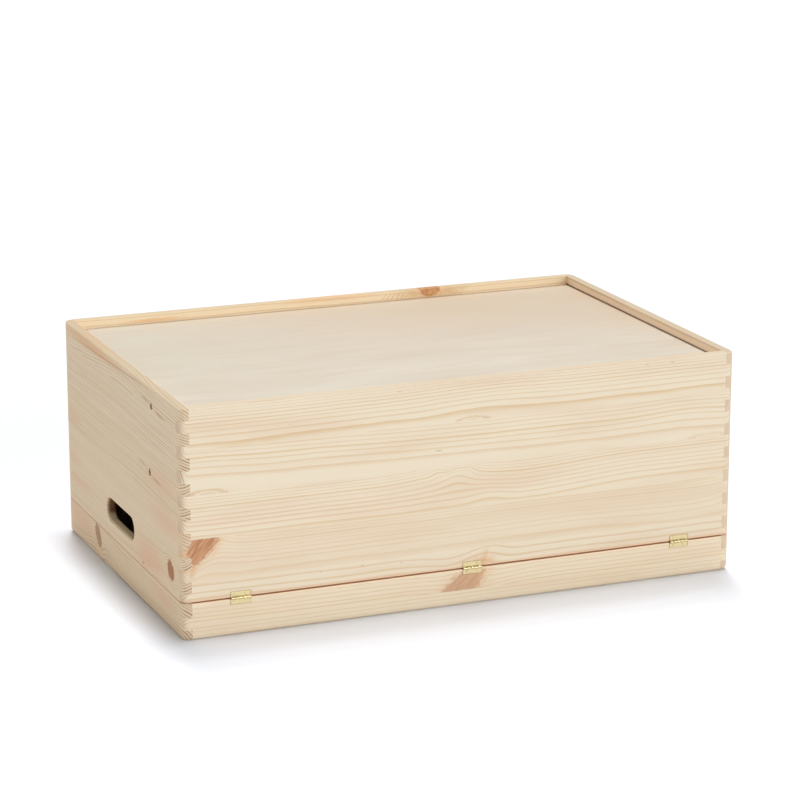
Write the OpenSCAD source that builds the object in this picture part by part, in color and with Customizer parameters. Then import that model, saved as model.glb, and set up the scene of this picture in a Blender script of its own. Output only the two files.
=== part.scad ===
// Pine storage box with a hinged lid, standing upside down on the lid.
// X runs along the hinge line, Y from the hinged face to the far face, Z is up.
// The shallow section on the floor is the lid. The tall section on top of it is the box,
// whose bottom panel faces up. Both were one closed carcass, sawn apart at the seam.
// The origin is on the floor, under the middle of the whole outline.

/* [Overall size] */
// Length along the hinge line
box_l = 600; // [420:5:800]
// Depth from the hinged face to the far face
box_d = 395; // [260:5:600]
// Height of box and lid together
box_h = 235; // [150:1:340]
// Height of the seam between lid and box
lid_h = 38.8; // [28:0.1:60]
// Thickness of the pine boards
board_t = 10; // [8:0.5:16]

/* [Rounded edges] */
// Radius of the four upright corners
corner_r = 8.5; // [2:0.5:12]
// Radius along the lid's outer edges, next to the floor
lid_edge_r = 5.3; // [1:0.1:7]

/* [Seam] */
// Gap between lid and box along the hinged side
hinge_gap = 1.4; // [0.8:0.1:2.4]
// Gap between lid and box along the other three sides
seam_gap = 0.3; // [0.1:0.05:0.6]

/* [Finger joints] */
// Height of one finger
finger_h = 12.5; // [8:0.5:20]
// Height of the lid's lowest finger, which was sanded down
lid_finger_h = 11; // [7:0.5:16]

/* [Plywood panels] */
// Thickness of both panels
panel_t = 4; // [3:0.5:6]
// How far each panel lies below the rim around it
panel_recess = 10; // [4:0.5:16]
// Depth of the grooves that hold the panels
groove_depth = 5; // [2:0.5:6]
// Play of a panel across its thickness
groove_play = 0.2; // [0.1:0.05:0.5]
// Play between a panel's edge and the groove's floor
panel_play = 0.5; // [0.2:0.1:1.5]
// Open slit beside the box's panel in the right end's groove
panel_slit = 1.3; // [0:0.1:2]

/* [Hand slots] */
// Length of a hand slot, with its round ends
slot_l = 93; // [70:1:130]
// Height of a hand slot
slot_h = 23.5; // [18:0.5:34]
// Height of a hand slot's middle above the seam
slot_up = 29; // [22:0.5:60]
// How far the slots lie from the middle, away from the hinged face
slot_shift = 5; // [-20:1:20]

/* [Hinges] */
// Width of a hinge
hinge_w = 20.5; // [16:0.5:40]
// Reach of a leaf from the hinge axis
leaf_h = 6.3; // [5.4:0.1:14]
// Thickness of a leaf
leaf_t = 0.9; // [0.6:0.1:1.4]
// How far a leaf stands proud of the board
leaf_proud = 0.2; // [0:0.05:0.4]
// Number of knuckles on one hinge
knuckle_count = 5; // [3:2:7]
// Outer radius of the knuckles
knuckle_r = 1.6; // [1.3:0.05:2.4]
// Distance of the hinge axis from the hinged face
axis_out = 1; // [0.9:0.05:1.6]
// Gap between neighbouring knuckles
knuckle_play = 0.15; // [0.05:0.05:0.4]
// Gap between the knuckles and the other leaf
leaf_play = 0.25; // [0.15:0.05:0.5]
// Radius of a hinge pin
pin_r = 0.75; // [0.5:0.05:1]
// Radial play of the pin in the lid leaf's knuckles
pin_play = 0.05; // [0.02:0.01:0.1]
// Play between a leaf and the sides of its pocket
pocket_play = 0.5; // [0.1:0.1:1]
// Distance of the outer hinges' middles from the ends
hinge_inset = 60; // [40:1:140]
// How far the middle hinge was set off the middle
hinge_mid_shift = 7; // [-20:1:20]

/* [Hinge nails] */
// Radius of a nail's shank
nail_r = 0.6; // [0.4:0.05:0.8]
// Radius of a nail's head
nail_head_r = 1.15; // [0.9:0.05:1.6]
// Thickness of a nail's head
nail_head_t = 0.35; // [0.2:0.05:0.6]
// Length of a nail from the leaf to its tip
nail_l = 7; // [5:0.5:8]
// Distance between the two nails in one leaf
nail_gap = 11; // [8:0.5:16]
// Play of a nail in its hole in the leaf
nail_play = 0.1; // [0.05:0.05:0.2]

/* [Hidden] */
$fn = 64;

// Colours of the materials
pine = [0.93, 0.83, 0.70];
plywood = [0.90, 0.82, 0.72];
brass = [0.83, 0.72, 0.45];
steel = [0.75, 0.74, 0.70];

// How far a cutting shape runs past the surface that it cuts
over = 1;
corner_edge_r = min(lid_edge_r, corner_r);
hinge_proud = axis_out + knuckle_r;

// Heights of the edges that face each other at the seam
lid_back_top = lid_h - hinge_gap / 2;
lid_side_top = lid_h - seam_gap / 2;
box_back_foot = lid_h + hinge_gap / 2;
box_side_foot = lid_h + seam_gap / 2;

// Rows of the finger joints: the box's are counted down from its rim, the lid's up from
// the floor, and the last row of each takes what is left
box_rows = max(2, round((box_h - lid_h) / finger_h));
lid_rows = max(2, 1 + round((lid_h - lid_finger_h) / finger_h));
function box_row_top(i) = i == 0 ? box_h + over : box_h - i * finger_h;
function box_row_foot(i) = i == box_rows - 1 ? lid_h - over : box_h - (i + 1) * finger_h;
function lid_row_foot(i) = i == 0 ? -over : lid_finger_h + (i - 1) * finger_h;
function lid_row_top(i) = i == lid_rows - 1 ? lid_h + over : lid_finger_h + i * finger_h;

// Grooves and panels
groove_w = panel_t + groove_play;
groove_in = board_t - groove_depth;
panel_in = groove_in + panel_play;
lid_panel_z = panel_recess;
box_panel_z = box_h - panel_recess - panel_t;

// Hinges
hinge_x = [hinge_inset, box_l / 2 + hinge_mid_shift, box_l - hinge_inset];
leaf_start = knuckle_r + leaf_play;
leaf_inner_y = leaf_t - leaf_proud;
knuckle_l = (hinge_w - (knuckle_count - 1) * knuckle_play) / knuckle_count;
nail_z = (leaf_start + leaf_h) / 2;
nail_tip = 2 * nail_r;

// ---------------------------------------------------------------- shared shapes

// Moves what is drawn from the carcass's near left floor corner to the origin's frame
module in_frame() {
    translate([-box_l / 2, -(box_d - hinge_proud) / 2, 0]) children();
}

module rounded_rectangle(l, d, r) {
    translate([r, 0]) square([l - 2 * r, d]);
    translate([0, r]) square([l, d - 2 * r]);
    for (x = [r, l - r], y = [r, d - r]) translate([x, y]) circle(r);
}

// Section through a slab whose two lower corners are rounded
module eased_section(w, h, r) {
    translate([0, r]) square([w, h - r]);
    translate([r, 0]) square([w - 2 * r, h]);
    for (x = [r, w - r]) translate([x, r]) circle(r);
}

// Half section of an upright corner whose foot is rounded
module eased_corner_profile(w, h, r) {
    intersection() {
        square([w, h]);
        union() {
            translate([0, r]) square([w, h - r]);
            square([w - r, h]);
            translate([w - r, r]) circle(r);
        }
    }
}

// Outer form of the box: upright corners rounded
module box_outline() {
    translate([0, 0, lid_h]) linear_extrude(box_h - lid_h) rounded_rectangle(box_l, box_d, corner_r);
}

// Outer form of the lid: upright corners and lower edges rounded
module lid_outline() {
    for (x = [corner_r, box_l - corner_r], y = [corner_r, box_d - corner_r])
        translate([x, y, 0]) rotate_extrude() eased_corner_profile(corner_r, lid_h, corner_edge_r);
    translate([corner_r, 0, 0]) rotate([90, 0, 90])
        linear_extrude(box_l - 2 * corner_r) eased_section(box_d, lid_h, corner_edge_r);
    translate([0, box_d - corner_r, 0]) rotate([90, 0, 0])
        linear_extrude(box_d - 2 * corner_r) eased_section(box_l, lid_h, corner_edge_r);
}

// Corner blocks that the end boards' fingers fill, for cutting the long boards
module box_end_fingers() {
    for (i = [0 : 2 : box_rows - 1])
        corner_blocks(box_row_foot(i), box_row_top(i));
}

// Corner blocks that the long boards' fingers fill, for cutting the end boards
module box_long_fingers() {
    for (i = [1 : 2 : box_rows - 1])
        corner_blocks(box_row_foot(i), box_row_top(i));
}

module lid_end_fingers() {
    for (i = [0 : 2 : lid_rows - 1])
        corner_blocks(lid_row_foot(i), lid_row_top(i));
}

module lid_long_fingers() {
    for (i = [1 : 2 : lid_rows - 1])
        corner_blocks(lid_row_foot(i), lid_row_top(i));
}

// One block at each of the four corners, from one height to another
module corner_blocks(z0, z1) {
    for (x = [-over, box_l - board_t], y = [-over, box_d - board_t])
        translate([x, y, z0]) cube([board_t + over, board_t + over, z1 - z0]);
}

// Space of the groove around a panel
module groove(z, w) {
    translate([groove_in, groove_in, z])
        cube([box_l - 2 * groove_in, box_d - 2 * groove_in, w]);
}

module long_board(y, foot, top) {
    translate([0, y, foot]) cube([box_l, board_t, top - foot]);
}

module end_board(x, foot, top) {
    translate([x, 0, foot]) cube([board_t, box_d, top - foot]);
}

// Slot with round ends, through an end board
module hand_slot(x) {
    translate([x - over, box_d / 2 + slot_shift, lid_h + slot_up]) rotate([0, 90, 0])
        linear_extrude(board_t + 2 * over) union() {
            square([slot_h, slot_l - slot_h], center = true);
            for (s = [-1, 1]) translate([0, s * (slot_l - slot_h) / 2]) circle(slot_h / 2);
        }
}

// Shallow pocket for one leaf. side is 1 for the box and -1 for the lid
module leaf_pocket(side) {
    reach = leaf_h + pocket_play;
    translate([-hinge_w / 2 - pocket_play, -over, side > 0 ? 0 : -reach])
        cube([hinge_w + 2 * pocket_play, leaf_inner_y + over, reach]);
}

// Puts what is drawn around a hinge axis at each of the three hinges
module at_hinges() {
    for (x = hinge_x) translate([x, 0, lid_h]) children();
}

// ---------------------------------------------------------------- lid

module lid_back_rail() {
    color(pine) in_frame() difference() {
        intersection() {
            long_board(0, 0, lid_back_top);
            lid_outline();
        }
        lid_end_fingers();
        groove(lid_panel_z, groove_w);
        at_hinges() leaf_pocket(-1);
        at_hinges() nails(-1);
    }
}

module lid_front_rail() {
    color(pine) in_frame() difference() {
        intersection() {
            long_board(box_d - board_t, 0, lid_side_top);
            lid_outline();
        }
        lid_end_fingers();
        groove(lid_panel_z, groove_w);
    }
}

module lid_end_rail(x) {
    color(pine) in_frame() difference() {
        intersection() {
            end_board(x, 0, lid_side_top);
            lid_outline();
        }
        lid_long_fingers();
        groove(lid_panel_z, groove_w);
    }
}

module lid_left_rail() {
    lid_end_rail(0);
}

module lid_right_rail() {
    lid_end_rail(box_l - board_t);
}

module panel(z) {
    color(plywood) in_frame() translate([panel_in, panel_in, z])
        cube([box_l - 2 * panel_in, box_d - 2 * panel_in, panel_t]);
}

module lid_panel() {
    panel(lid_panel_z);
}

// ---------------------------------------------------------------- box

module box_back_board() {
    color(pine) in_frame() difference() {
        intersection() {
            long_board(0, box_back_foot, box_h);
            box_outline();
        }
        box_end_fingers();
        groove(box_panel_z, groove_w);
        at_hinges() leaf_pocket(1);
        at_hinges() nails(1);
    }
}

module box_front_board() {
    color(pine) in_frame() difference() {
        intersection() {
            long_board(box_d - board_t, box_side_foot, box_h);
            box_outline();
        }
        box_end_fingers();
        groove(box_panel_z, groove_w);
    }
}

// slit widens the groove on the side of the rim
module box_end(x, slit) {
    color(pine) in_frame() difference() {
        intersection() {
            end_board(x, box_side_foot, box_h);
            box_outline();
        }
        box_long_fingers();
        groove(box_panel_z, groove_w + slit);
        hand_slot(x);
    }
}

module box_left_end() {
    box_end(0, 0);
}

module box_right_end() {
    box_end(box_l - board_t, panel_slit);
}

module box_bottom_panel() {
    panel(box_panel_z);
}

// ---------------------------------------------------------------- hinges

// One knuckle along X, counted from the left
module knuckle(i) {
    translate([-hinge_w / 2 + i * (knuckle_l + knuckle_play), -axis_out, 0])
        rotate([0, 90, 0]) cylinder(r = knuckle_r, h = knuckle_l);
}

// Web from one knuckle to the leaf's plate
module knuckle_web(i, side) {
    translate([-hinge_w / 2 + i * (knuckle_l + knuckle_play), -leaf_proud, side > 0 ? 0 : -leaf_start])
        cube([knuckle_l, leaf_t, leaf_start]);
}

module leaf_plate(side) {
    translate([-hinge_w / 2, -leaf_proud, side > 0 ? leaf_start : -leaf_h])
        cube([hinge_w, leaf_t, leaf_h - leaf_start]);
}

// The box's leaf (side 1) has the odd knuckles and grips the pin, and the lid's leaf
// (side -1) turns on the pin with the even ones
module hinge_leaf(side) {
    bore_r = side > 0 ? pin_r : pin_r + pin_play;
    first = side > 0 ? 0 : 1;
    color(brass) difference() {
        union() {
            leaf_plate(side);
            for (i = [first : 2 : knuckle_count - 1]) {
                knuckle(i);
                knuckle_web(i, side);
            }
        }
        translate([-hinge_w / 2 - over, -axis_out, 0])
            rotate([0, 90, 0]) cylinder(r = bore_r, h = hinge_w + 2 * over);
        for (s = [-1, 1]) translate([s * nail_gap / 2, -leaf_proud - over, side * nail_z])
            rotate([-90, 0, 0]) cylinder(r = nail_r + nail_play, h = leaf_t + 2 * over);
    }
}

module hinge_pin() {
    color(steel) translate([-hinge_w / 2, -axis_out, 0])
        rotate([0, 90, 0]) cylinder(r = pin_r, h = hinge_w);
}

// The two nails of one leaf
module nails(side) {
    for (s = [-1, 1]) translate([s * nail_gap / 2, -leaf_proud, side * nail_z]) rotate([-90, 0, 0]) {
        translate([0, 0, -nail_head_t]) cylinder(r = nail_head_r, h = nail_head_t);
        cylinder(r = nail_r, h = nail_l - nail_tip);
        translate([0, 0, nail_l - nail_tip]) cylinder(r1 = nail_r, r2 = 0, h = nail_tip);
    }
}

module at_hinge(k) {
    in_frame() translate([hinge_x[k], 0, lid_h]) children();
}

module left_hinge_lid_leaf() { at_hinge(0) hinge_leaf(-1); }
module left_hinge_box_leaf() { at_hinge(0) hinge_leaf(1); }
module left_hinge_pin() { at_hinge(0) hinge_pin(); }
module middle_hinge_lid_leaf() { at_hinge(1) hinge_leaf(-1); }
module middle_hinge_box_leaf() { at_hinge(1) hinge_leaf(1); }
module middle_hinge_pin() { at_hinge(1) hinge_pin(); }
module right_hinge_lid_leaf() { at_hinge(2) hinge_leaf(-1); }
module right_hinge_box_leaf() { at_hinge(2) hinge_leaf(1); }
module right_hinge_pin() { at_hinge(2) hinge_pin(); }

module lid_hinge_nails() {
    color(brass) in_frame() at_hinges() nails(-1);
}

module box_hinge_nails() {
    color(brass) in_frame() at_hinges() nails(1);
}

lid_back_rail();
lid_front_rail();
lid_left_rail();
lid_right_rail();
lid_panel();
box_back_board();
box_front_board();
box_left_end();
box_right_end();
box_bottom_panel();
left_hinge_lid_leaf();
left_hinge_box_leaf();
left_hinge_pin();
middle_hinge_lid_leaf();
middle_hinge_box_leaf();
middle_hinge_pin();
right_hinge_lid_leaf();
right_hinge_box_leaf();
right_hinge_pin();
lid_hinge_nails();
box_hinge_nails();
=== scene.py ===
import math
from collections import namedtuple
from statistics import median

import bmesh
import bpy
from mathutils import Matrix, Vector


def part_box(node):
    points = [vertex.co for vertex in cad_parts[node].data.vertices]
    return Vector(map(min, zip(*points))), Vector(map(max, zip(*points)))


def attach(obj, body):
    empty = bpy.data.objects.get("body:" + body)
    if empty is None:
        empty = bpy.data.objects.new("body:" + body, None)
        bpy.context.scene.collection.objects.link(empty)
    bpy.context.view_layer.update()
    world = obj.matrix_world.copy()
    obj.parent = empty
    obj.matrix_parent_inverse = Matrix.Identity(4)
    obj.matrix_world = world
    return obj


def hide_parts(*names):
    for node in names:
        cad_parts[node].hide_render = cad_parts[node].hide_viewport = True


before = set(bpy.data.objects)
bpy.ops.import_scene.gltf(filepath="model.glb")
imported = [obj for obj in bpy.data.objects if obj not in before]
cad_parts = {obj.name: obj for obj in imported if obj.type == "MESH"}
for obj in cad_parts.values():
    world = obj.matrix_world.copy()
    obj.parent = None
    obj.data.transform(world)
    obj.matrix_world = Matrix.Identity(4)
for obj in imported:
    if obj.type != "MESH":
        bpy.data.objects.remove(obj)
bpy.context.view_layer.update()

# The box as it stands: the lid's plywood on the floor, the hinged side towards -Y.
# Lengths are in millimetres, and grain and knots are set out from the near left corner.
MM = 0.001
BOX_LENGTH = 600
BOX_DEPTH = 395
BOX_HEIGHT = 235
BOARD = 10
SEAM_HEIGHT = 38.8
LEFT_FACE = -300
HINGED_FACE = -196.2
# The bottom panel's groove, the rise of the rim's inner face out of it, and the hand slots.
GROOVE_HEIGHT = 223.0
GROOVE_HALF_WIDTH = 2.4
RIM_FOOT = (221, 224)
SLOT_MIDDLE = (202.5, 67.8)
SLOT_REACH = (60.0, 20.0)
# The top of the rim, and how far the painted light and shade at the seam spread from it and into the
# cut.
RIM_BAND = 2
SEAM_PAINTED_LIGHT_LONG = (1.2, 4.2)
SEAM_PAINTED_SHADE_ENDS = (0.3, 1.5)
GAP_SHADE_BAND = (0.8, 1.0)
SEAM_PAINT_DEPTH = (1.5, 3.8)

# pith_height and pith_depth place the log's heart behind (or before) a strip's outer face.
Strip = namedtuple("Strip", "pith_height pith_depth ring_width first_ring contrast tone")
# A swell lifts the grain lines near one place.
Swell = namedtuple("Swell", "strip along height reach_along reach_height lift")
Knot = namedtuple("Knot", "strip along height half_length half_height lean taper look")
# A streak is a thin dark mark that runs with the grain; its lean is height per sideways.
Streak = namedtuple("Streak", "along height half_length half_height lean look depth")
# A stain is a soft patch of colour round a knot; its lean is sideways per height.
Stain = namedtuple("Stain", "strip along height half_length half_height lean look depth")
# A loop is one growth ring cut as a flat arch.
Loop = namedtuple("Loop", "strip along height half_length half_height depth")

# Sizes of the pine's patterns: along the grain, up the side, and into the board.
RIPPLE_SIZE = (4.0, 4.0, 6.0)
WAVE_SIZE = (90.0, 14.0, 14.0)
PATCH_SIZE = (150.0, 9.0, 9.0)
FIBRE_SIZE = (26.0, 0.55, 0.55)
SHADE_SIZE = (200.0, 24.0, 24.0)
WANDER_LENGTH = 260.0
WANDER_UP = 2.0
WANDER_IN = 1.2
WAVE_HEIGHT = 0.5
UNEVEN_LENGTH = 9.0
UNEVEN_SHARE = 0.4
STAIN_COMB = (1.6, 14.0)
KNOT_COMB = (1.7, 18.0)
# Bare wood shines little. The reliefs are in metres.
WOOD_SHINE = 0.3
WOOD_RELIEF = 0.0002
METAL_RELIEF = 0.00005
# How far a knot pushes the rings aside, and how soon that fades.
KNOT_PUSH = 0.78
KNOT_PUSH_FADE = 0.42
# The seed that parts one strip's pattern from the next.
STRIP_SEED_STEP = 7.3
ALONG_THE_LENGTH, ALONG_THE_DEPTH = 0, 1
# The sockets that a Mix node mixes colours with.
MIX_FIRST, MIX_SECOND, MIX_RESULT = 6, 7, 2


def paint(red, green, blue):
    """A colour given as 0 to 255 screen values, as the renderer wants it."""
    parts = [v / 255 for v in (red, green, blue)]
    parts = [v / 12.92 if v <= 0.04045 else ((v + 0.055) / 1.055) ** 2.4 for v in parts]
    return (*parts, 1.0)


EARLY_WOOD = paint(241, 228, 205)
LATE_WOODS_LONG = (paint(218, 183, 116), paint(217, 173, 119))
LATE_WOODS_ENDS = (paint(186, 155, 117), paint(195, 146, 105))
LOOP_WOOD = paint(214, 176, 126)
FIBRE_WOOD = paint(196, 170, 136)
DARK_ENDS = (paint(228, 205, 175), paint(112, 72, 46))
PALE_ENDS = (paint(238, 218, 188), paint(176, 134, 96))
RIGHT_ENDS = (paint(230, 208, 180), paint(138, 98, 76))
ROSY_WOOD = paint(236, 217, 192)
WARM_WOOD = paint(228, 206, 170)
# Painted shade for the cut faces inside the seam's gap.
SEAM_GAP_PAINTED_SHADE = paint(240, 170, 98)
NEAR_RIM_WOOD = paint(231, 215, 191)
FAR_RIM_WOOD = paint(228, 208, 172)
END_RIM_WOOD = paint(216, 199, 170)
# Painted light: the rim's inner faces and the panel's groove are painted paler and warmer than the
# wood, against the shade they lie in.
RIM_INSIDE_PAINTED_LIGHT = paint(255, 236, 203)
END_RIM_INSIDE_PAINTED_LIGHT = paint(251, 226, 196)
GROOVE_PAINTED_LIGHT = paint(255, 206, 152)
# Painted light along the seam: a warm painted shade on the box's edge, a painted highlight on the
# lid's edge (also used to paint the lid a little paler), and a painted shade on the ends' edges.
BOX_EDGE_PAINTED_WARM_SHADE = paint(240, 204, 172)
LID_PAINTED_LIGHT = paint(255, 235, 204)
END_EDGE_PAINTED_SHADE = paint(228, 170, 128)
# Painted shade on the hand slot's walls, and painted light on its lip.
SLOT_WALL_PAINTED_SHADE = paint(140, 92, 60)
SLOT_LIP_PAINTED_LIGHT = paint(255, 232, 190)
KNOT_HALO = paint(228, 184, 142)
KNOT_LOOKS = {
    "live": (paint(214, 164, 124), paint(174, 114, 76)),
    "pale": (paint(212, 162, 122), paint(176, 118, 80)),
    "orange": (paint(228, 178, 124), paint(188, 122, 72)),
    "tan": (paint(224, 182, 136), paint(172, 114, 72)),
    "dead": (paint(194, 132, 88), paint(116, 66, 36)),
    "grey": (paint(200, 158, 122), paint(152, 112, 80)),
    "small": (paint(136, 100, 62), paint(84, 58, 34)),
}
# The colours of streaks and stains.
STREAK_LOOKS = {
    "red": paint(196, 140, 104),
    "dark": paint(146, 108, 76),
    "peach": paint(246, 200, 150),
    "pink": paint(228, 185, 152),
    "amber": paint(226, 172, 116),
}
PLY_LEFT = paint(220, 211, 193)
PLY_RIGHT = paint(223, 209, 192)
PLY_NEAR = paint(229, 221, 205)
PLY_FAR = paint(218, 196, 168)
PLY_CLOUD = paint(219, 205, 187)
PLY_FLAME = paint(217, 200, 178)
PLY_PORE = paint(194, 170, 142)
PLY_LAYERS = (paint(206, 184, 152), paint(168, 138, 104))
PLY_LAYER_PAIR = 2.6
BRASS_COLOURS = ((0.72, 0.605, 0.34, 1), (0.64, 0.53, 0.29, 1))
STEEL_COLOURS = ((0.70, 0.69, 0.66, 1), (0.60, 0.59, 0.57, 1))


class Finish:
    """One material and the sums that colour it."""

    def __init__(self, name):
        self.material = bpy.data.materials.new(name)
        self.material.use_nodes = True
        self.tree = self.material.node_tree
        self.shader = self.tree.nodes["Principled BSDF"]

    def node(self, kind, **settings):
        made = self.tree.nodes.new(kind)
        for name, value in settings.items():
            setattr(made, name, value)
        return made

    def feed(self, socket, value):
        if isinstance(value, bpy.types.NodeSocket):
            self.tree.links.new(value, socket)
        else:
            socket.default_value = value

    def feed_all(self, made, terms):
        for socket, term in zip(made.inputs, terms):
            self.feed(socket, term)
        return made.outputs[0]

    def calc(self, operation, *terms):
        return self.feed_all(self.node("ShaderNodeMath", operation=operation), terms)

    def times(self, product, *factors):
        for factor in factors:
            product = self.calc("MULTIPLY", product, factor)
        return product

    def vector(self, operation, *terms):
        made = self.node("ShaderNodeVectorMath", operation=operation)
        self.feed_all(made, terms)
        return made.outputs["Value" if operation in ("LENGTH", "DOT_PRODUCT") else "Vector"]

    def join(self, x, y, z=0.0):
        return self.feed_all(self.node("ShaderNodeCombineXYZ"), (x, y, z))

    def split(self, vector):
        made = self.node("ShaderNodeSeparateXYZ")
        self.feed(made.inputs[0], vector)
        return made.outputs

    def ramp(self, value, low, high, to_low=0.0, to_high=1.0, style="LINEAR"):
        """to_low where value is low, to_high where it is high, straight between, level beyond."""
        made = self.node("ShaderNodeMapRange", interpolation_type=style)
        return self.feed_all(made, (value, low, high, to_low, to_high))

    def grade(self, value, low, high, to_low=0.0, to_high=1.0):
        """A ramp that eases in and out."""
        return self.ramp(value, low, high, to_low, to_high, "SMOOTHSTEP")

    def blend(self, amount, first, second, way="MIX"):
        made = self.node("ShaderNodeMix", data_type="RGBA", blend_type=way, clamp_factor=True)
        self.feed(made.inputs["Factor"], amount)
        self.feed(made.inputs[MIX_FIRST], first)
        self.feed(made.inputs[MIX_SECOND], second)
        return made.outputs[MIX_RESULT]

    def noise(self, place, size=None, detail=2.0, rough=0.5, output="Fac"):
        """Clouds about as long as size along x, y and z. Without it, place is scaled already."""
        if size:
            place = self.vector("DIVIDE", place, size)
        made = self.node("ShaderNodeTexNoise", noise_dimensions="3D")
        self.feed(made.inputs["Vector"], place)
        made.inputs["Scale"].default_value = 1.0
        made.inputs["Detail"].default_value = detail
        made.inputs["Roughness"].default_value = rough
        return made.outputs[output]

    def hill(self, amount):
        """1 in the middle, falling off as a bell to 0 where amount, squared already, is large."""
        return self.calc("EXPONENT", self.times(amount, -1.0))

    def ridge(self, value, middle, width):
        """A hill along the line where value is middle."""
        away = self.calc("DIVIDE", self.calc("SUBTRACT", value, middle), width)
        return self.hill(self.times(away, away))

    def oval(self, across, up, half_length, half_height):
        """0 in the middle of an oval, 1 at its rim."""
        across = self.calc("DIVIDE", across, half_length)
        up = self.calc("DIVIDE", up, half_height)
        return self.vector("LENGTH", self.join(across, up))

    def object_place(self):
        """The place in millimetres from the near left corner of the outline, and the normal."""
        where = self.node("ShaderNodeTexCoord")
        place = self.vector("MULTIPLY_ADD", where.outputs["Object"], (1 / MM, 1 / MM, 1 / MM),
                            (-LEFT_FACE, -HINGED_FACE, 0))
        return place, where.outputs["Normal"]

    def surface(self, colour, roughness, relief, strength, depth):
        """Colour, roughness and a relief at most depth metres deep, all of them patterns."""
        self.feed(self.shader.inputs["Base Color"], colour)
        self.feed(self.shader.inputs["Roughness"], roughness)
        bump = self.node("ShaderNodeBump")
        bump.inputs["Strength"].default_value = strength
        bump.inputs["Distance"].default_value = depth
        self.feed(bump.inputs["Height"], relief)
        self.feed(self.shader.inputs["Normal"], bump.outputs[0])


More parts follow.
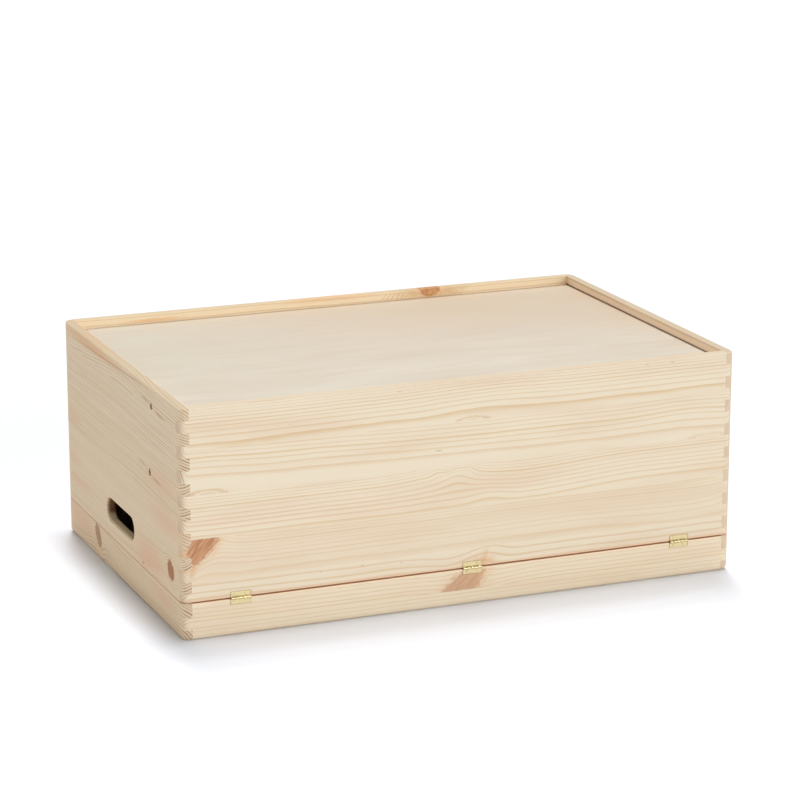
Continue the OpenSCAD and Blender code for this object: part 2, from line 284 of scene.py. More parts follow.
class Pine(Finish):
    """Solid pine, glued up from strips, for one side of the box and of its lid."""

    def __init__(self, name, grain_axis, seed, glue_lines):
        super().__init__(name)
        self.long_board = grain_axis == ALONG_THE_LENGTH
        self.seed = seed
        self.glue_lines = glue_lines
        place, normal = self.object_place()
        self.normal = self.split(normal)
        x, y, self.height = self.split(place)
        self.along, self.depth = (x, y) if self.long_board else (y, x)
        self.solid_place = self.join(self.along, self.height, self.depth)
        # Depth below the nearer outer face of the box, and 1 on faces that look up or down.
        half = (BOX_DEPTH if self.long_board else BOX_LENGTH) / 2
        from_middle = self.calc("ABSOLUTE", self.calc("SUBTRACT", self.depth, half))
        self.sunk = self.calc("SUBTRACT", half, from_middle)
        self.level_face = self.grade(self.calc("ABSOLUTE", self.normal[2]), 0.85, 0.97)
        # Unevenness of the outlines of knots, loops and streaks.
        self.ripple = self.ramp(self.noise(self.solid_place, RIPPLE_SIZE), 0.3, 0.7, -0.14, 0.14)

    def by_strip(self, values):
        """The three parts of the vector in values for the strip at this height, lowest first."""
        result = values[0]
        for line, below, above in zip(self.glue_lines, values, values[1:]):
            over = self.calc("GREATER_THAN", self.height, line)
            change = tuple(b - a for a, b in zip(below, above))
            result = self.vector("MULTIPLY_ADD", self.join(over, over, over), change, result)
        return self.split(result)

    def strip_mask(self, strip):
        """1 within one strip, 0 outside it."""
        mask = 1.0
        if strip > 0:
            mask = self.calc("GREATER_THAN", self.height, self.glue_lines[strip - 1])
        if strip < len(self.glue_lines):
            mask = self.times(mask, self.calc("LESS_THAN", self.height, self.glue_lines[strip]))
        return mask

    def offset(self, mark):
        """Across and up from the middle of a mark."""
        across = self.calc("SUBTRACT", self.along, mark.along)
        return across, self.calc("SUBTRACT", self.height, mark.height)

    def swell_lift(self, swell):
        face = self.join(self.along, self.height)
        offset = self.vector("SUBTRACT", face, (swell.along, swell.height, 0))
        scaled = self.vector("DIVIDE", offset, (swell.reach_along, swell.reach_height, 1))
        return self.times(self.hill(self.vector("DOT_PRODUCT", scaled, scaled)), swell.lift)

    def knot_reach(self, knot):
        """0 in the knot's heart, 1 at its rim; across, as a share of its width there; and up."""
        across, up = self.offset(knot)
        across = self.calc("MULTIPLY_ADD", up, -knot.lean, across)
        spread = knot.half_length * knot.taper / knot.half_height
        width = self.calc("MULTIPLY_ADD", up, spread, knot.half_length)
        across = self.calc("DIVIDE", across, self.calc("MAXIMUM", width, 1.0))
        rise = self.calc("DIVIDE", up, knot.half_height)
        return self.vector("LENGTH", self.join(across, rise)), across, up

    def knot_push(self, reach, up):
        near = self.hill(self.times(reach, reach, KNOT_PUSH_FADE))
        return self.times(up, KNOT_PUSH, near)

    def ring_phase(self, level, strip, strip_seed):
        """The count of rings out from a pith that wanders a little along the log."""
        wander_place = self.join(self.calc("DIVIDE", self.along, WANDER_LENGTH), strip_seed)
        wander = self.split(self.noise(wander_place, detail=1.0, output="Color"))
        ring_up = self.calc("SUBTRACT", level, strip.pith_height)
        ring_up = self.calc("ADD", ring_up, self.ramp(wander[0], 0, 1, -WANDER_UP, WANDER_UP))
        ring_in = self.calc("SUBTRACT", self.depth, strip.pith_depth)
        ring_in = self.calc("ADD", ring_in, self.ramp(wander[1], 0, 1, -WANDER_IN, WANDER_IN))
        radius = self.vector("LENGTH", self.join(ring_up, ring_in))
        wave_place = self.vector("DIVIDE", self.solid_place, WAVE_SIZE)
        wave_place = self.vector("ADD", wave_place, self.join(strip_seed, strip_seed))
        wave = self.ramp(self.noise(wave_place), 0, 1, -WAVE_HEIGHT, WAVE_HEIGHT)
        radius = self.calc("ADD", radius, wave)
        uneven_place = self.join(self.calc("DIVIDE", radius, UNEVEN_LENGTH), strip_seed, 3.7)
        uneven = self.noise(uneven_place, detail=1.0)
        phase = self.calc("SUBTRACT", radius, strip.first_ring)
        phase = self.calc("DIVIDE", phase, strip.ring_width)
        return self.calc("ADD", phase, self.ramp(uneven, 0, 1, -UNEVEN_SHARE, UNEVEN_SHARE))

    def late_wood(self, phase, contrast, strip_seed):
        """How late the wood is in its ring, and the colour of that ring's late wood.

        Pale early wood darkens slowly into the late wood and starts again at once.
        """
        chance = self.node("ShaderNodeTexWhiteNoise", noise_dimensions="2D")
        self.feed(chance.inputs["Vector"], self.join(self.calc("FLOOR", phase), strip_seed))
        of_ring = self.split(chance.outputs["Color"])
        through = self.calc("FRACT", phase)
        rise = self.grade(through, self.ramp(of_ring[2], 0, 1, 0.4, 0.8), 0.90)
        fall = self.grade(through, 0.92, 1.0, 1.0, 0.0)
        strength = self.ramp(of_ring[0], 0, 1, 0.55, 1.0)
        late = self.times(rise, fall, strength, contrast)
        if self.long_board:
            on_lid = self.grade(self.height, SEAM_HEIGHT - 0.5, SEAM_HEIGHT, 1.5, 1.0)
            late = self.times(late, on_lid)
        late_woods = LATE_WOODS_LONG if self.long_board else LATE_WOODS_ENDS
        return late, self.blend(of_ring[1], *late_woods)

    def early_wood(self, tone, strip_seed):
        shade_place = self.vector("DIVIDE", self.solid_place, SHADE_SIZE)
        shade_place = self.vector("ADD", shade_place, self.join(0.0, strip_seed))
        shade = self.noise(shade_place)
        early = self.blend(self.grade(shade, 0.4, 0.75), EARLY_WOOD, ROSY_WOOD)
        return self.blend(tone, early, WARM_WOOD)

    def round_the_panel(self, wood):
        """The top of the rim, its inner face painted paler as painted light against the shade of the
        recess, and the groove that the bottom panel lies in, painted paler and warmer as painted
        light against the shade of its slit.
        """
        on_rim = self.calc("GREATER_THAN", self.height, BOX_HEIGHT - RIM_BAND)
        on_rim = self.times(self.level_face, on_rim)
        if self.long_board:
            on_near_side = self.calc("LESS_THAN", self.depth, BOX_DEPTH / 2)
            rim_top = self.blend(on_near_side, FAR_RIM_WOOD, NEAR_RIM_WOOD)
        else:
            rim_top = END_RIM_WOOD
        wood = self.blend(self.times(on_rim, 0.85), wood, rim_top)
        # Painted light on the rim's inner face.
        in_rim = self.calc("GREATER_THAN", self.sunk, BOARD - 0.5)
        in_rim = self.times(in_rim, self.grade(self.height, *RIM_FOOT), 0.95)
        wood = self.blend(in_rim, wood, RIM_INSIDE_PAINTED_LIGHT if self.long_board else END_RIM_INSIDE_PAINTED_LIGHT)
        if self.long_board:
            return wood
        # Painted light in the groove that the panel lies in.
        from_middle = self.calc("ABSOLUTE", self.calc("SUBTRACT", self.along, BOX_DEPTH / 2))
        in_groove = self.calc("LESS_THAN", from_middle, BOX_DEPTH / 2 - BOARD - 0.5)
        in_groove = self.times(in_groove, self.calc("GREATER_THAN", self.sunk, BOARD / 2 - 1),
                               self.calc("COMPARE", self.height, GROOVE_HEIGHT, GROOVE_HALF_WIDTH))
        return self.blend(in_groove, wood, GROOVE_PAINTED_LIGHT)

    def comb(self, across, up, size, detail=2.0, rough=0.5):
        """Noise drawn out along the height, for ragged sides."""
        across = self.calc("DIVIDE", across, size[0])
        up = self.calc("DIVIDE", up, size[1])
        return self.noise(self.join(across, up, self.seed), detail=detail, rough=rough)

    def stained(self, wood, stain, mask, late):
        across, up = self.offset(stain)
        across = self.calc("MULTIPLY_ADD", up, -stain.lean, across)
        ragged = 0.03 if stain.look == "pink" else 0.25
        comb = self.ramp(self.comb(across, up, STAIN_COMB), 0.3, 0.7, -ragged, ragged)
        spot = self.oval(across, up, stain.half_length, stain.half_height)
        spot = self.grade(self.calc("ADD", spot, comb), 0.2, 1.1, stain.depth, 0.0)
        spot = self.times(spot, mask)
        if stain.look == "pink":
            by_ring = (1.3, 0.15) if self.long_board else (0.5, 0.85)
            spot = self.times(spot, self.calc("MULTIPLY_ADD", late, *by_ring))
        return self.blend(spot, wood, STREAK_LOOKS[stain.look])

    def looped(self, wood, loop, mask):
        reach = self.oval(*self.offset(loop), loop.half_length, loop.half_height)
        reach = self.calc("MULTIPLY_ADD", self.ripple, 1.3, reach)
        middle = self.grade(reach, 0.35, 0.6, 0.5, 0.0)
        ring = self.calc("ADD", self.ridge(reach, 1.0, 0.26), middle)
        return self.blend(self.times(ring, loop.depth, mask), wood, LOOP_WOOD)

    def knotted(self, wood, knot, mask, reach, across, up):
        light, dark = KNOT_LOOKS[knot.look]
        reach = self.calc("ADD", reach, self.ripple)
        if knot.taper:
            # A knot cut along its length: flames that run up it.
            leaning = self.calc("MULTIPLY_ADD", up, -0.35, self.times(across, knot.half_length))
            flame = self.comb(leaning, up, KNOT_COMB, 3.0, 0.6)
            grain = self.grade(flame, 0.36, 0.64)
            reach = self.calc("ADD", reach, self.ramp(flame, 0.3, 0.7, -0.22, 0.22))
        else:
            # A knot cut across: rings, and cracks from its heart.
            rings = self.calc("MULTIPLY_ADD", reach, 3.6, self.times(self.ripple, 3.0))
            rings = self.calc("ABSOLUTE", self.calc("SUBTRACT", self.calc("FRACT", rings), 0.5))
            spoke = self.calc("ARCTAN2", self.calc("DIVIDE", up, knot.half_height), across)
            spoke_place = self.join(self.times(spoke, 2.2), self.times(reach, 1.2), self.seed)
            cracks = self.grade(self.noise(spoke_place, detail=3.0, rough=0.6), 0.35, 0.7)
            grain = self.calc("MULTIPLY_ADD", rings, 0.9, self.times(cracks, 0.6))
        halo = self.times(self.grade(reach, 0.9, 1.9, 1.0, 0.0), mask, 0.35)
        inside = self.times(self.grade(reach, 0.78, 1.1, 1.0, 0.0), mask)
        rim = self.times(self.ridge(reach, 0.96, 0.12), mask, 0.3 if knot.taper else 0.6)
        wood = self.blend(halo, wood, KNOT_HALO)
        wood = self.blend(inside, wood, self.blend(self.times(grain, 0.85), light, dark))
        return self.blend(rim, wood, dark)

    def streaked(self, wood, streak):
        across, up = self.offset(streak)
        up = self.calc("MULTIPLY_ADD", across, -streak.lean, up)
        spot = self.oval(across, up, streak.half_length, streak.half_height)
        spot = self.grade(self.calc("ADD", spot, self.ripple), 0.3, 1.1, streak.depth, 0.0)
        return self.blend(spot, wood, STREAK_LOOKS[streak.look])

    def painted_light_at_the_seam(self, wood):
        """Painted light at the seam: a painted highlight on the lid's eased edge, a painted warm
        shade on the box's edge above it, a painted shade on the ends' edges, and painted shade on
        the cut faces in the gap.
        """
        from_seam = self.calc("ABSOLUTE", self.calc("SUBTRACT", self.height, SEAM_HEIGHT))
        near_face = self.grade(self.sunk, *SEAM_PAINT_DEPTH, 1.0, 0.1)
        if self.long_board:
            # Painted light: the lid's rails along the length are painted a little paler all over,
            # making up for the dimmer light near the floor.
            on_lid = self.calc("LESS_THAN", self.height, SEAM_HEIGHT)
            wood = self.blend(self.times(on_lid, 0.25), wood, LID_PAINTED_LIGHT)
            on_box = self.calc("GREATER_THAN", self.height, SEAM_HEIGHT)
            painted_seam_light = self.blend(on_box, LID_PAINTED_LIGHT, BOX_EDGE_PAINTED_WARM_SHADE)
            edge = self.grade(from_seam, *SEAM_PAINTED_LIGHT_LONG, 0.85, 0.0)
        else:
            painted_seam_light = END_EDGE_PAINTED_SHADE
            edge = self.grade(from_seam, *SEAM_PAINTED_SHADE_ENDS, 0.5, 0.0)
        wood = self.blend(self.times(edge, near_face), wood, painted_seam_light)
        # Painted shade in the gap: the level cut faces next to the seam, strongest near the outer
        # face.
        gap_shade = self.times(self.level_face, self.grade(from_seam, *GAP_SHADE_BAND, 1.0, 0.0), near_face)
        return self.blend(self.times(gap_shade, 0.85 if self.long_board else 0.12), wood, SEAM_GAP_PAINTED_SHADE)

    def slot_share(self):
        """1 round the hand slot, 0 elsewhere."""
        across = self.calc("SUBTRACT", self.along, SLOT_MIDDLE[0])
        up = self.calc("SUBTRACT", self.height, SLOT_MIDDLE[1])
        return self.calc("LESS_THAN", self.oval(across, up, *SLOT_REACH), 1.0)

    def painted_slot_light_and_shade(self, wood, in_slot):
        """The hand slot's walls with painted shade, darker further in and partly standing for their
        darker end grain, and a painted pool of light on the lip below.
        """
        not_face = self.grade(self.calc("ABSOLUTE", self.normal[0]), 0.8, 0.99, 1.0, 0.0)
        lip = self.grade(self.normal[2], 0.35, 0.9)
        slot_painted_light = self.blend(lip, SLOT_WALL_PAINTED_SHADE, SLOT_LIP_PAINTED_LIGHT)
        share = self.calc("MAXIMUM", self.ramp(self.sunk, 0.4, 4.0, 0.3, 1.0), lip)
        return self.blend(self.times(in_slot, not_face, share), wood, slot_painted_light)


def pine(name, grain_axis, seed, ends, glue_lines, strips, swells, knots, streaks,
         stains=(), loops=()):
    """The pine of one side; ends are the colours of its end grain, seen in the finger joints."""
    f = Pine(name, grain_axis, seed, glue_lines)
    masks = {n: f.strip_mask(n) for n in {m.strip for m in (*swells, *knots, *stains, *loops)}}
    heart = f.by_strip([(s.pith_height, s.pith_depth, s.ring_width) for s in strips])
    first_ring, strip_seed, contrast = f.by_strip(
        [(s.first_ring, STRIP_SEED_STEP * n + seed, s.contrast) for n, s in enumerate(strips)])
    tone = f.by_strip([(s.tone, 0, 0) for s in strips])[0]
    strip = Strip(*heart, first_ring, contrast, tone)

    # Swells lift the rings, and knots push them aside.
    lift = 0.0
    for swell in swells:
        lift = f.calc("ADD", lift, f.times(f.swell_lift(swell), masks[swell.strip]))
    reaches = [f.knot_reach(knot) for knot in knots]
    for knot, (reach, _, up) in zip(knots, reaches):
        lift = f.calc("MULTIPLY_ADD", f.knot_push(reach, up), masks[knot.strip], lift)
    phase = f.ring_phase(f.calc("SUBTRACT", f.height, lift), strip, strip_seed)

    late, late_colour = f.late_wood(phase, strip.contrast, strip_seed)
    early_colour = f.round_the_panel(f.early_wood(strip.tone, strip_seed))
    palest = 0.82 if f.long_board else 0.55
    patch = f.grade(f.noise(f.solid_place, PATCH_SIZE), 0.3, 0.7, palest, 1.0)
    side = f.blend(f.times(late, patch), early_colour, late_colour)
    end = f.blend(late, *ends)
    end_share = f.grade(f.calc("ABSOLUTE", f.normal[grain_axis]), 0.35, 0.9)
    if not f.long_board:
        in_slot = f.slot_share()
        end_share = f.times(end_share, f.calc("SUBTRACT", 1.0, in_slot))
    wood = f.blend(end_share, side, end)

    for stain in stains:
        wood = f.stained(wood, stain, masks[stain.strip], late)
    for loop in loops:
        wood = f.looped(wood, loop, masks[loop.strip])
    for knot, reach in zip(knots, reaches):
        wood = f.knotted(wood, knot, masks[knot.strip], *reach)
    for streak in streaks:
        wood = f.streaked(wood, streak)
    wood = f.painted_light_at_the_seam(wood)
    if not f.long_board:
        wood = f.painted_slot_light_and_shade(wood, in_slot)

    fibre = f.noise(f.solid_place, FIBRE_SIZE, 3.0, 0.6)
    fibre_shade = f.times(f.ramp(fibre, 0.3, 0.7), 0.10)
    wood = f.blend(fibre_shade, wood, FIBRE_WOOD, "MULTIPLY")
    relief = f.calc("MULTIPLY_ADD", late, -0.6, fibre)
    f.surface(wood, f.ramp(fibre, 0.3, 0.7, 0.52, 0.66), relief, 0.25, WOOD_RELIEF)
    f.shader.inputs["Specular IOR Level"].default_value = WOOD_SHINE
    return f.material


def birch_plywood():
    """Pale sanded birch face plies, with the layers showing where an edge is seen."""
    f = Finish("birch_plywood")
    place, normal = f.object_place()
    x, y, height = f.split(place)
    clouds = f.noise(place, (150.0, 60.0, 60.0))
    flames = f.noise(place, (90.0, 14.0, 14.0), 3.0, 0.55)
    pores = f.noise(place, (5.0, 0.5, 0.5))
    face = f.blend(f.grade(x, 40, 330), PLY_LEFT, PLY_RIGHT)
    far_right = f.calc("MULTIPLY_ADD", x, 0.5, y)
    face = f.blend(f.grade(far_right, 340, 600, 0.0, 0.9), face, PLY_FAR)
    face = f.blend(f.grade(y, 30, 260, 0.9, 0.0), face, PLY_NEAR)
    face = f.blend(f.grade(clouds, 0.3, 0.7, 0.0, 0.6), face, PLY_CLOUD)
    face = f.blend(f.times(f.grade(flames, 0.42, 0.72), 0.5), face, PLY_FLAME)
    face = f.blend(f.grade(pores, 0.55, 0.8, 0.0, 0.28), face, PLY_PORE)
    layer = f.calc("FRACT", f.calc("DIVIDE", height, PLY_LAYER_PAIR))
    edge = f.blend(f.grade(layer, 0.45, 0.55), *PLY_LAYERS)
    on_edge = f.grade(f.calc("ABSOLUTE", f.split(normal)[2]), 0.4, 0.6, 1.0, 0.0)
    roughness = f.grade(pores, 0.3, 0.7, 0.5, 0.62)
    f.surface(f.blend(on_edge, face, edge), roughness, pores, 0.15, WOOD_RELIEF)
    f.shader.inputs["Specular IOR Level"].default_value = WOOD_SHINE
    return f.material


def metal(name, colours, roughness, brushing):
    """Thin plated metal with faint rolling marks as large as brushing, and duller patches."""
    f = Finish(name)
    place, _ = f.object_place()
    marks = f.noise(place, brushing, 3.0, 0.6)
    patch = f.grade(f.noise(place, (3.0, 3.0, 3.0)), 0.35, 0.75)
    f.surface(f.blend(patch, *colours), f.grade(marks, 0.3, 0.7, roughness, roughness + 0.14),
              marks, 0.08, METAL_RELIEF)
    f.shader.inputs["Metallic"].default_value = 1.0
    return f.material


# Strips of the hinged side, from the floor up.
BACK_GLUE_LINES = (16, 59.5, 103, 147, 193)
BACK_STRIPS = [
    Strip(-40, 30, 3.8, 50, 0.6, 0.0),
    Strip(71.4, 55.5, 2.7, 58.0, 0.62, 0.0),
    Strip(57, 45, 2.2, 46.1, 0.42, 0.16),
    Strip(90, 40, 2.8, 43.1, 0.70, 0.0),
    Strip(147, 59.5, 2.1, 60.8, 0.66, 0.0),
    Strip(190, 45, 2.0, 46.2, 0.74, 0.0),
]
BACK_SWELLS = [
    Swell(5, 330, 205, 80, 60, 5.0),
    Swell(5, 600, 205, 160, 60, 4.0),
    Swell(4, 0, 165, 60, 60, 6.0),
    Swell(4, 110, 165, 110, 60, 5.5),
    Swell(4, 545, 165, 50, 60, 4.0),
    Swell(3, 290, 140, 18, 14, 6.0),
    Swell(3, 285, 138, 50, 22, 6.0),
    Swell(3, 267, 146, 6, 6, 2.6),
    Swell(3, 281, 145, 5, 7, -2.4),
    Swell(3, 303, 143, 7, 6, 2.6),
    Swell(3, 325, 112, 22, 14, 4.0),
    Swell(3, 470, 120, 80, 60, 6.0),
    Swell(3, 600, 120, 100, 60, 7.0),
    Swell(2, 545, 62, 70, 22, -5.0),
    Swell(2, 612, 88, 24, 18, 9.0),
    Swell(2, 25, 90, 28, 22, 6.0),
    Swell(1, 305, 36, 42, 24, -9.0),
]
BACK_KNOTS = [
    Knot(2, 19.5, 94, 14, 17, 0.45, 0.3, "live"),
    Knot(1, 296, 20, 19, 22, 0.72, -0.1, "pale"),
]
BACK_STAINS = [
    Stain(2, 4, 82, 12, 22, 0.7, "amber", 0.5),
    Stain(2, 11, 72, 5, 12, 0.2, "amber", 0.45),
    Stain(2, 36, 92, 4, 14, 0.45, "peach", 0.4),
    Stain(1, 312, 31, 15, 22, 0.7, "peach", 0.75),
    Stain(1, 320, 47, 3.6, 13, 0.3, "amber", 0.35),
    Stain(1, 276, 30, 9, 12, 0.3, "pink", 0.5),
    Stain(1, 300, 48, 26, 9, 0.3, "pink", 0.35),
    Stain(2, 120, 84, 190, 26, 0.0, "pink", 0.6),
    Stain(3, 120, 118, 210, 20, 0.0, "pink", 0.5),
]
BACK_LOOPS = [
    Loop(4, 27, 147, 18, 4.6, 0.6),
    Loop(5, 307, 193, 15, 3.4, 0.5),
    Loop(4, 572, 147, 20, 4.0, 0.3),
]
BACK_STREAKS = [
    Streak(270, 165, 5.0, 0.8, 0.0, "dark", 0.4),
    Streak(528, 231, 3.0, 0.8, 0.0, "dark", 0.45),
    Streak(500, 231, 2.0, 0.7, 0.0, "dark", 0.4),
    Streak(228, 230, 3.0, 1.0, 0.0, "red", 0.35),
    Streak(188, 55.5, 1.2, 1.2, 0.0, "dark", 0.4),
    Streak(230, 53, 1.0, 1.5, 0.0, "dark", 0.35),
    Streak(144, 54.5, 1.0, 1.0, 0.0, "dark", 0.35),
]

LEFT_GLUE_LINES = (38.0, 82, 126, 170, 213)
LEFT_STRIPS = [
    Strip(-26, -32, 2.9, 41.0, 1.0, 0.85),
    Strip(122, -28, 2.8, 31.0, 0.9, 0.75),
    Strip(30, -30, 2.9, 50.0, 0.8, 0.76),
    Strip(232, -26, 3.0, 31.0, 1.1, 0.74),
    Strip(110, -26, 2.7, 31.0, 1.15, 0.62),
    Strip(186, -30, 2.6, 33.0, 1.2, 0.7),
]
LEFT_SWELLS = [
    Swell(1, 60, 55, 60, 30, 8.0),
    Swell(4, 240, 190, 120, 40, 5.0),
    Swell(0, 280, 26, 46, 22, 9.0),
    Swell(5, 190, 225, 90, 40, 9.0),
    Swell(5, 395, 225, 70, 40, -5.0),
    Swell(3, 150, 140, 80, 30, 5.0),
]
LEFT_KNOTS = [
    Knot(1, 35, 63, 9.5, 9.3, 0.2, 0.0, "dead"),
    Knot(0, 284, 26, 9.0, 11.5, 0.4, 0.0, "grey"),
    Knot(5, 88, 216, 3.2, 3.4, 0.0, 0.0, "small"),
    Knot(3, 97, 146, 3.2, 3.6, 0.0, 0.0, "small"),
]
LEFT_STREAKS = [
    Streak(220, 228, 180, 1.4, -0.03, "red", 0.6),
    Streak(106, 219, 18.0, 1.6, 0.1, "dark", 0.45),
    Streak(62, 213, 20.0, 1.6, 0.05, "red", 0.75),
    Streak(118, 150, 20.0, 1.5, 0.08, "dark", 0.35),
    Streak(76, 143, 18.0, 1.5, 0.08, "red", 0.7),
    Streak(126, 43.5, 4.0, 2.0, 0.0, "dark", 0.5),
]
LEFT_STAINS = [
    Stain(1, 32, 63.5, 17, 13, 0.0, "peach", 0.6),
    Stain(1, 100, 58, 60, 18, 0.0, "pink", 0.75),
    Stain(1, 120, 46, 36, 7, 0.0, "pink", 0.6),
    Stain(0, 345, 26, 70, 18, 0.0, "pink", 0.7),
    Stain(0, 279, 8, 8, 15, 0.3, "peach", 0.75),
    Stain(0, 60, 26, 50, 10, 0.0, "pink", 0.5),
    Stain(1, 350, 66, 60, 9, 0.0, "pink", 0.5),
    Stain(2, 50, 108, 60, 18, 0.0, "pink", 0.55),
    Stain(3, 60, 146, 60, 14, 0.0, "pink", 0.5),
    Stain(3, 375, 135, 40, 10, 0.0, "pink", 0.5),
    Stain(5, 300, 229, 140, 8, 0.0, "amber", 0.55),
    Stain(2, 380, 90, 50, 10, 0.0, "pink", 0.5),
]

FRONT_GLUE_LINES = (22, 66, 110, 152, 196)
FRONT_STRIPS = [
    Strip(-30, 340, 2.2, 50, 0.6, 0.1),
    Strip(60, 335, 2.1, 46, 0.6, 0.2),
    Strip(90, 342, 2.3, 40, 0.65, 0.0),
    Strip(120, 330, 2.0, 51, 0.6, 0.15),
    Strip(180, 338, 2.2, 43, 0.65, 0.05),
    Strip(212, 345, 2.4, 36, 0.7, 0.0),
]
FRONT_SWELLS = [
    Swell(3, 180, 130, 60, 30, 7.0),
    Swell(1, 430, 45, 70, 30, -6.0),
]
FRONT_KNOTS = [
    Knot(5, 421, 236.5, 12, 10, 0.0, 0.0, "orange"),
    Knot(2, 150, 88, 9, 7.5, 0.2, 0.0, "tan"),
    Knot(4, 505, 175, 5, 4.5, 0.0, 0.0, "dead"),
]
FRONT_STREAKS = [
    Streak(150, 88, 40, 1.2, 0.0, "red", 0.35),
    Streak(330, 140, 4, 0.8, 0.0, "dark", 0.5),
    *(Streak(366 + 5.6 * n, 230, 4.2, 1.3, 0.95, "amber", 0.42) for n in range(8)),
    *(Streak(440 + 3.4 * n, 230, 3.2, 1.2, -1.3, "amber", 0.5) for n in range(5)),
]
FRONT_STAINS = [
    Stain(5, 98, 228.5, 46, 2.6, 0.0, "peach", 0.8),
    Stain(5, 300, 234, 70, 3.5, 0.0, "peach", 0.6),
    Stain(5, 425, 232, 34, 10, 0.0, "peach", 0.3),
]
FRONT_LOOPS = [
    Loop(5, 422, 238, 24, 13, 0.4),
    Loop(5, 423, 239, 38, 17, 0.3),
]

RIGHT_GLUE_LINES = (30, 74, 118, 162, 206)
RIGHT_STRIPS = [
    Strip(10, 555, 2.1, 42, 0.6, 0.1),
    Strip(45, 634, 2.2, 36, 0.6, 0.0),
    Strip(110, 553, 2.0, 43, 0.6, 0.2),
    Strip(140, 636, 2.2, 38, 0.6, 0.1),
    Strip(200, 555, 2.1, 41, 0.6, 0.05),
    Strip(240, 560, 2.3, 33, 0.6, 0.2),
]
RIGHT_SWELLS = [
    Swell(2, 220, 96, 60, 30, 6.0),
    Swell(4, 90, 190, 60, 30, 5.0),
]
RIGHT_KNOTS = [
    Knot(3, 300, 140, 8.0, 7.0, 0.0, 0.0, "tan"),
    Knot(1, 70, 50, 4.2, 4.0, 0.0, 0.0, "dead"),
]
RIGHT_STREAKS = [
    Streak(70, 50, 30.0, 1.0, 0.0, "red", 0.4),
]

PINE_BY_SIDE = {
    "back": pine("pine_hinged_side", ALONG_THE_LENGTH, 1.0, DARK_ENDS, BACK_GLUE_LINES,
                 BACK_STRIPS, BACK_SWELLS, BACK_KNOTS, BACK_STREAKS, BACK_STAINS, BACK_LOOPS),
    "front": pine("pine_far_side", ALONG_THE_LENGTH, 57.0, PALE_ENDS, FRONT_GLUE_LINES, FRONT_STRIPS,
                  FRONT_SWELLS, FRONT_KNOTS, FRONT_STREAKS, FRONT_STAINS, FRONT_LOOPS),
    "left": pine("pine_left_end", ALONG_THE_DEPTH, 113.0, DARK_ENDS, LEFT_GLUE_LINES,
                 LEFT_STRIPS, LEFT_SWELLS, LEFT_KNOTS, LEFT_STREAKS, LEFT_STAINS),
    "right": pine("pine_right_end", ALONG_THE_DEPTH, 171.0, RIGHT_ENDS, RIGHT_GLUE_LINES,
                  RIGHT_STRIPS, RIGHT_SWELLS, RIGHT_KNOTS, RIGHT_STREAKS),
}
PLYWOOD = birch_plywood()
BRASS = metal("hinge_brass", BRASS_COLOURS, 0.24, (9.0, 0.5, 0.5))
STEEL = metal("pin_steel", STEEL_COLOURS, 0.30, (0.4, 4.0, 4.0))

# Widths that the edges are eased by, in millimetres.
RIM_EASE = 1.2
SEAM_EASE = 0.9
SLOT_EASE = 3.6
HINGE_EASE = 0.16
# Points this near a plane, in millimetres, lie in it; corners this near, in metres, are one.
IN_PLANE = 0.02
SAME_POINT = 0.000001
# Angles in degrees: joined when flatter, eased when sharper, shaded smooth when blunter.
FLAT_JOIN = 0.2
SHARP_BOARD = 30
SHARP_LEAF = 50
SMOOTH_UP_TO = 40
# A face looks square along an axis when its normal has this share there.
SQUARE_ON = 0.9993
SQUARE_ON_SHADED = 0.9998
LARGE_FACE = 100


def in_joint(point):
    """True on the planes where boards meet inside a corner joint."""
    from_end = BOX_LENGTH / 2 - abs(point.x) / MM
    y = point.y / MM - HINGED_FACE
    from_side = min(y, BOX_DEPTH - y)
    near = from_end < BOARD + IN_PLANE and from_side < BOARD + IN_PLANE
    return near and (from_end > BOARD - IN_PLANE or from_side > BOARD - IN_PLANE)


def near_slot(edge):
    middle = (edge.verts[0].co + edge.verts[1].co) / 2
    across = middle.y / MM - HINGED_FACE - SLOT_MIDDLE[0]
    up = middle.z / MM - SLOT_MIDDLE[1]
    return math.hypot(across / SLOT_REACH[0], up / SLOT_REACH[1]) < 1


def sharp_edges(bm, angle):
    limit = math.radians(angle)
    return [e for e in bm.edges if len(e.link_faces) == 2 and e.calc_face_angle(0) > limit]


def clean_copy(node):
    """A mesh copy of a CAD node with its doubles merged and flat faces joined."""
    bm = bmesh.new()
    bm.from_mesh(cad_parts[node].data)
    bmesh.ops.remove_doubles(bm, verts=bm.verts, dist=SAME_POINT)
    limit = math.radians(FLAT_JOIN)
    bmesh.ops.dissolve_limit(bm, angle_limit=limit, verts=bm.verts, edges=bm.edges)
    return bm


def ease(bm, edges, width, segments=2):
    if edges:
        bmesh.ops.bevel(bm, geom=edges, offset=width * MM, offset_type="OFFSET", segments=segments,
                        profile=0.5, affect="EDGES", clamp_overlap=True, material=-1)


def flatten_large_faces(bm):
    """Put the corners of the large square-on faces back in their planes after a bevel."""
    for face in bm.faces:
        axis = max(range(3), key=lambda n: abs(face.normal[n]))
        if face.calc_area() > LARGE_FACE * MM * MM and abs(face.normal[axis]) > SQUARE_ON:
            level = median(v.co[axis] for v in face.verts)
            for v in face.verts:
                v.co[axis] = level
    bm.normal_update()


def finish_piece(bm, name, node, body, material):
    mesh = bpy.data.meshes.new(name)
    for face in bm.faces:
        face.smooth = True
        face.material_index = 0
    bm.to_mesh(mesh)
    bm.free()
    mesh.materials.append(material)
    mesh.set_sharp_from_angle(angle=math.radians(SMOOTH_UP_TO))
    for face in mesh.polygons:
        face.use_smooth = max(abs(part) for part in face.normal) < SQUARE_ON_SHADED
    piece = bpy.data.objects.new(name, mesh)
    bpy.context.scene.collection.objects.link(piece)
    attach(piece, body)
    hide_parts(node)
    return piece


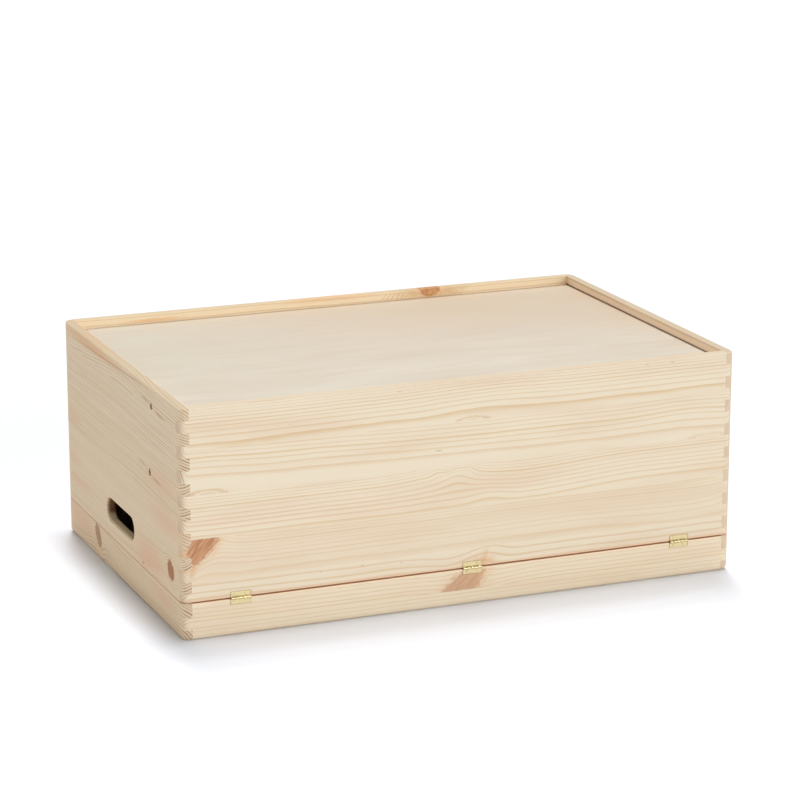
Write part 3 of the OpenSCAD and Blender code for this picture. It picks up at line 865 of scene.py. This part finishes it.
def eased_board(node, body, side):
    """A pine board or rail with its rim, seam and slot edges lightly sanded."""
    bm = clean_copy(node)
    lowest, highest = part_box(node)
    rim = BOX_HEIGHT if body == "box" else 0.0
    seam = (lowest.z if body == "box" else highest.z) / MM

    def outer_edges_at(level):
        return [e for e in sharp_edges(bm, SHARP_BOARD)
                if all(abs(v.co.z / MM - level) < IN_PLANE for v in e.verts)
                and not all(in_joint(v.co) for v in e.verts)]

    if side in ("left", "right") and body == "box":
        faces_x = {round(lowest.x, 5), round(highest.x, 5)}
        slot = [e for e in sharp_edges(bm, SHARP_BOARD) if near_slot(e)
                and all(round(v.co.x, 5) in faces_x for v in e.verts)
                and round(e.verts[0].co.x, 5) == round(e.verts[1].co.x, 5)]
        ease(bm, slot, SLOT_EASE, 5)
    ease(bm, outer_edges_at(rim), RIM_EASE)
    ease(bm, outer_edges_at(seam), SEAM_EASE)
    flatten_large_faces(bm)
    return finish_piece(bm, node + "_eased", node, body, PINE_BY_SIDE[side])


def refinish(node, material):
    """A CAD node that keeps its shape gets a better material."""
    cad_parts[node].data.materials.clear()
    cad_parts[node].data.materials.append(material)


for side in ("back", "front"):
    eased_board("box_" + side + "_board", "box", side)
    eased_board("lid_" + side + "_rail", "lid", side)
for side in ("left", "right"):
    eased_board("box_" + side + "_end", "box", side)
    eased_board("lid_" + side + "_rail", "lid", side)
for panel in ("box_bottom_panel", "lid_panel"):
    refinish(panel, PLYWOOD)
for place in ("left", "middle", "right"):
    for body in ("lid", "box"):
        leaf = place + "_hinge_" + body + "_leaf"
        bm = clean_copy(leaf)
        ease(bm, sharp_edges(bm, SHARP_LEAF), HINGE_EASE)
        finish_piece(bm, leaf + "_eased", leaf, body, BRASS)
    refinish(place + "_hinge_pin", STEEL)
for nails in ("lid_hinge_nails", "box_hinge_nails"):
    refinish(nails, BRASS)

# The studio, in metres. The floor and the dome look brighter to the camera than they shine.
FLOOR_HALF_SIZE = 40
FLOOR_COLOUR = (0.86, 0.86, 0.86, 1)
FLOOR_SEEN = (0.957, 0.984, 1.045, 1)
DOME_LEVEL = 0.34
DOME_SEEN = 1.0
TOP_LAMP_LEANS = (-0.03, -0.22, -0.42)
LENS_LENGTH = 137.09
CAMERA_PLACE = (-1.16282, -2.87668, 0.99965)
CAMERA_DOWN = 15.05
CAMERA_RIGHT = 22.15


def studio_floor():
    """A white sweep, bright to the camera, that keeps the soft contact shadow."""
    bm = bmesh.new()
    bmesh.ops.create_grid(bm, x_segments=1, y_segments=1, size=FLOOR_HALF_SIZE)
    mesh = bpy.data.meshes.new("studio_floor")
    bm.to_mesh(mesh)
    bm.free()
    f = Finish("studio_floor")
    path = f.node("ShaderNodeLightPath")
    seen = f.calc("MAXIMUM", path.outputs["Is Camera Ray"], path.outputs["Is Glossy Ray"])
    seen = f.calc("MAXIMUM", seen, path.outputs["Is Transmission Ray"])
    diffuse = f.node("ShaderNodeBsdfDiffuse")
    f.feed(diffuse.inputs["Color"], f.blend(seen, FLOOR_COLOUR, FLOOR_SEEN))
    f.feed(f.tree.nodes["Material Output"].inputs["Surface"], diffuse.outputs[0])
    f.tree.nodes.remove(f.shader)
    mesh.materials.append(f.material)
    floor = bpy.data.objects.new("studio_floor", mesh)
    bpy.context.scene.collection.objects.link(floor)


def soft_lamp(name, energy, spread, toward):
    """A lamp far off that shines toward a direction, from a patch of sky spread degrees wide."""
    lamp = bpy.data.lights.new(name, "SUN")
    lamp.energy = energy
    lamp.angle = math.radians(spread)
    holder = bpy.data.objects.new(name, lamp)
    holder.rotation_euler = Vector(toward).to_track_quat("-Z", "Y").to_euler()
    bpy.context.scene.collection.objects.link(holder)


def studio_light():
    """A pale dome, a row of lamps overhead, a low one at the front right, a left fill."""
    world = bpy.data.worlds.new("studio")
    bpy.context.scene.world = world
    world.use_nodes = True
    tree = world.node_tree
    path = tree.nodes.new("ShaderNodeLightPath")
    seen = tree.nodes.new("ShaderNodeMath")
    seen.operation = "MAXIMUM"
    tree.links.new(path.outputs["Is Camera Ray"], seen.inputs[0])
    tree.links.new(path.outputs["Is Transmission Ray"], seen.inputs[1])
    level = tree.nodes.new("ShaderNodeMapRange")
    tree.links.new(seen.outputs[0], level.inputs["Value"])
    level.inputs["To Min"].default_value = DOME_LEVEL
    level.inputs["To Max"].default_value = DOME_SEEN
    tree.links.new(level.outputs[0], tree.nodes["Background"].inputs["Strength"])
    tree.nodes["Background"].inputs["Color"].default_value = (1, 1, 1, 1)

    for number, lean in enumerate(TOP_LAMP_LEANS, 1):
        soft_lamp("top_lamp_" + str(number), 0.70, 10, (-0.10, lean, -1.0))
    soft_lamp("front_lamp", 1.43, 40, (-0.35, 1.0, -0.18))
    soft_lamp("left_fill", 0.5, 36, (1.0, -0.36, -0.2))


def photo_camera():
    """The place and lens that fit the photo's straight edges, without shift."""
    lens = bpy.data.cameras.new("camera")
    lens.lens = LENS_LENGTH
    lens.sensor_width = 36
    lens.clip_end = 100
    camera = bpy.data.objects.new("camera", lens)
    camera.location = CAMERA_PLACE
    camera.rotation_euler = (math.radians(90 - CAMERA_DOWN), 0, math.radians(-CAMERA_RIGHT))
    bpy.context.scene.collection.objects.link(camera)
    bpy.context.scene.camera = camera


studio_floor()
studio_light()
photo_camera()
bpy.context.scene.view_settings.view_transform = "Standard"
